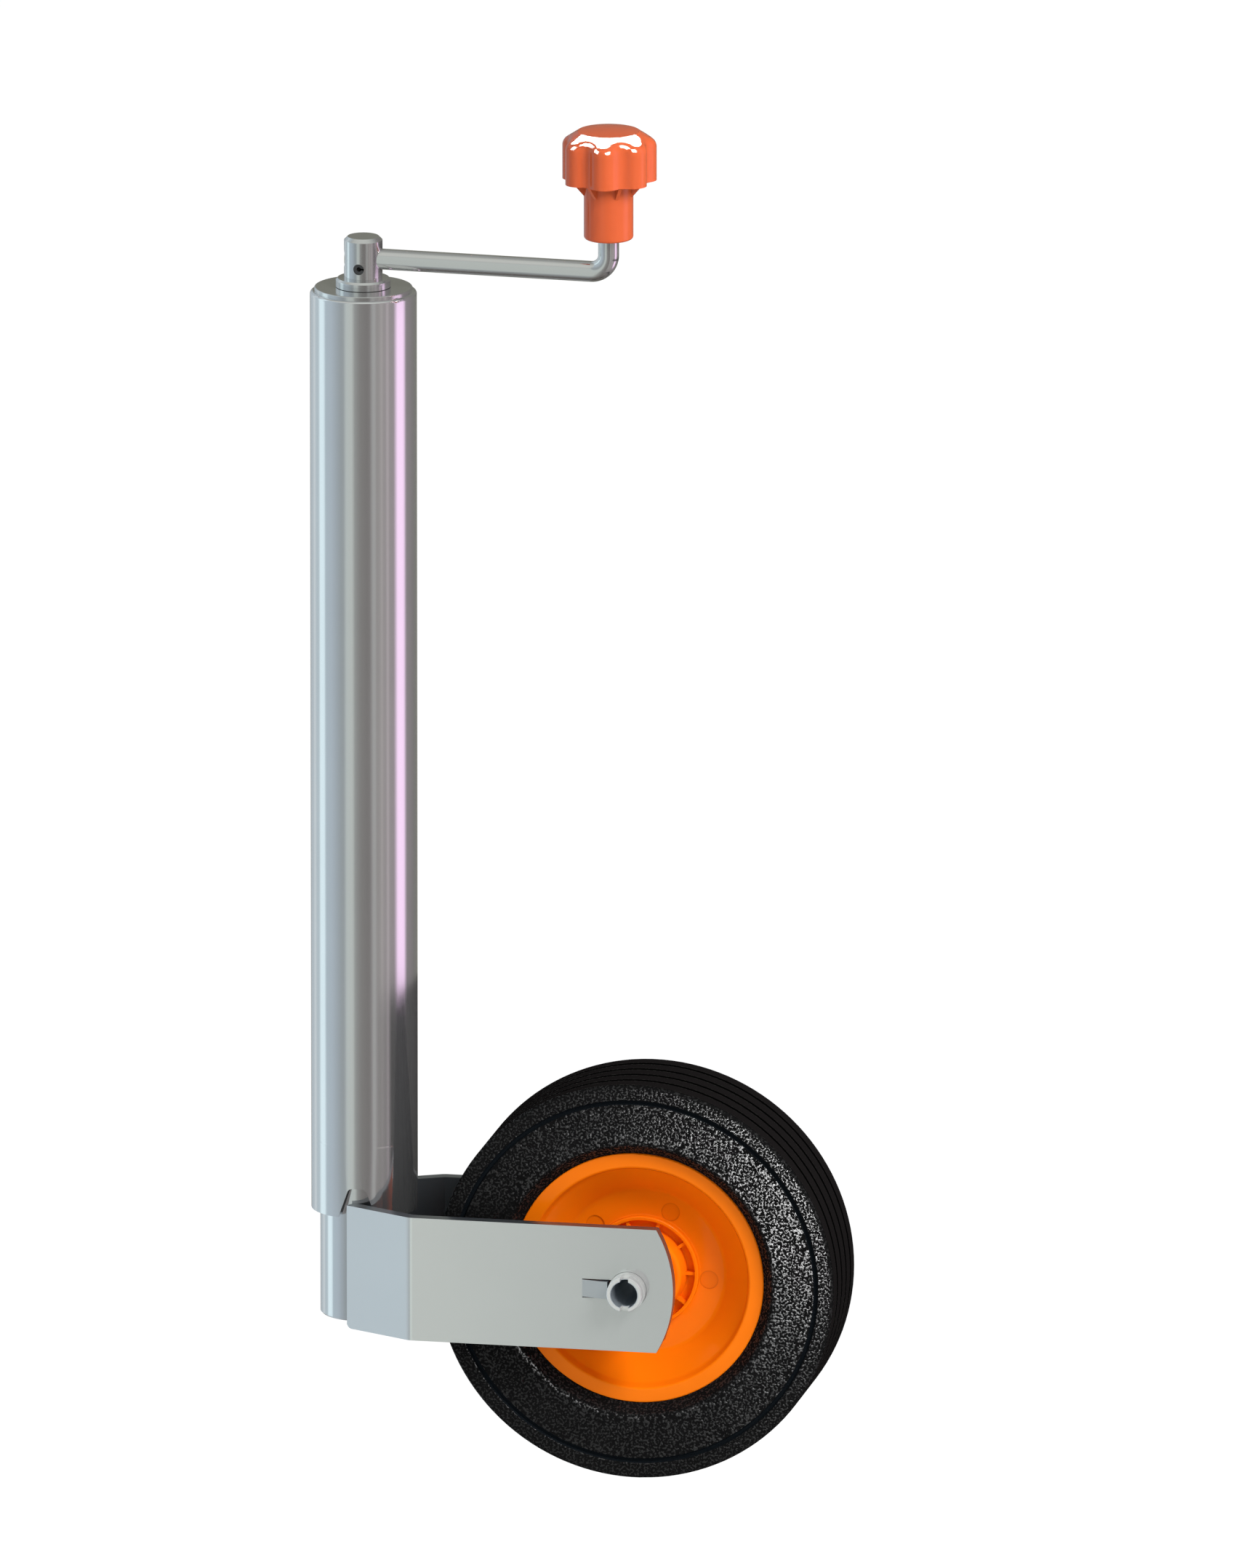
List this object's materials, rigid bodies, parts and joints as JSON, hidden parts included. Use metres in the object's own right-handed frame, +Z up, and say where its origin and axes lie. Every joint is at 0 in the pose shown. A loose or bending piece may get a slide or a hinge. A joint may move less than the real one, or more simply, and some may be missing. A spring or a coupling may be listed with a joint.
{
  "type": "jockey wheel",
  "caption": "Telescopic jockey wheel for a trailer drawbar: crank-wound steel tubes with a star knob, and a rubber-tyred wheel in a welded fork.",
  "frame": {"origin": "on the tubes' axis, half-way up the outer tube, in the plain stretch that a drawbar clamp holds", "axes": "+Z up along the tubes' axis, +X from the tubes towards the wheel and the crank's knob as stored, +Y to the left"},
  "size_m": [0.2442, 0.0976, 0.6185],
  "materials": {
    "zinc_tube": "bright zinc plating on drawn tube",
    "zinc_turned": "bright zinc plating on turned steel",
    "zinc_bar": "bright zinc plating on bent bar",
    "black_spring_steel": "oiled black spring steel",
    "zinc_plate": "smooth bright zinc plating on folded plate",
    "weld_bead": "plated weld seam",
    "zinc_axle": "bright zinc plating on cut tube",
    "inner_steel": "greased steel",
    "guide_plastic": "moulded sliding plastic",
    "red_plastic": "glossy moulded plastic",
    "orange_plastic": "glossy moulded plastic",
    "black_rubber": "grained solid rubber"
  },
  "bodies": {
    "housing": {"outer_tube": "zinc_tube", "top_cap": "zinc_turned", "lower_guide": "guide_plastic"},
    "crank": {"spindle": "zinc_turned", "thrust_collar": "zinc_turned", "thrust_washer": "inner_steel", "lock_collar": "inner_steel", "lock_pin": "inner_steel", "stop_washer": "inner_steel", "stop_pin": "inner_steel", "crank_arm": "zinc_bar", "arm_pin_outer": "black_spring_steel", "arm_pin_inner": "black_spring_steel", "grip_clip": "inner_steel"},
    "grip": {"knob": "red_plastic", "knob_cap": "red_plastic"},
    "slider": {"inner_tube": "zinc_tube", "upper_guide": "guide_plastic", "spindle_nut": "inner_steel", "fork_leg_left": "zinc_plate", "fork_leg_right": "zinc_plate", "fork_welds": "weld_bead", "axle_tube": "zinc_axle", "spacer_left": "zinc_axle", "spacer_right": "zinc_axle"},
    "wheel": {"rim_hub": "orange_plastic", "rim": "orange_plastic", "tyre": "black_rubber", "hub_bush_left": "guide_plastic", "hub_bush_right": "guide_plastic"}
  },
  "joints": [
    {"name": "crank_turn", "type": "hinge", "parent": "housing", "child": "crank", "pos_m": [0, 0, 0.2268], "axis": [0, 0, 1], "range_deg": [-162, 21600]},
    {"name": "tube_slide", "type": "slide", "parent": "housing", "child": "slider", "axis": [0, 0, -1], "range_m": [-0.0019, 0.2401]},
    {"name": "knob_spin", "type": "hinge", "parent": "crank", "child": "grip", "pos_m": [0.11335, -0.00574, 0.2424], "axis": [0, 0, 1], "continuous": true},
    {"name": "wheel_spin", "type": "hinge", "parent": "slider", "child": "wheel", "pos_m": [0.129, 0, -0.2345], "axis": [0, 1, 0], "continuous": true}
  ],
  "couplings": [
    {"joint": "tube_slide", "follows": "crank_turn", "m_per_rad": 0.00063662}
  ]
}
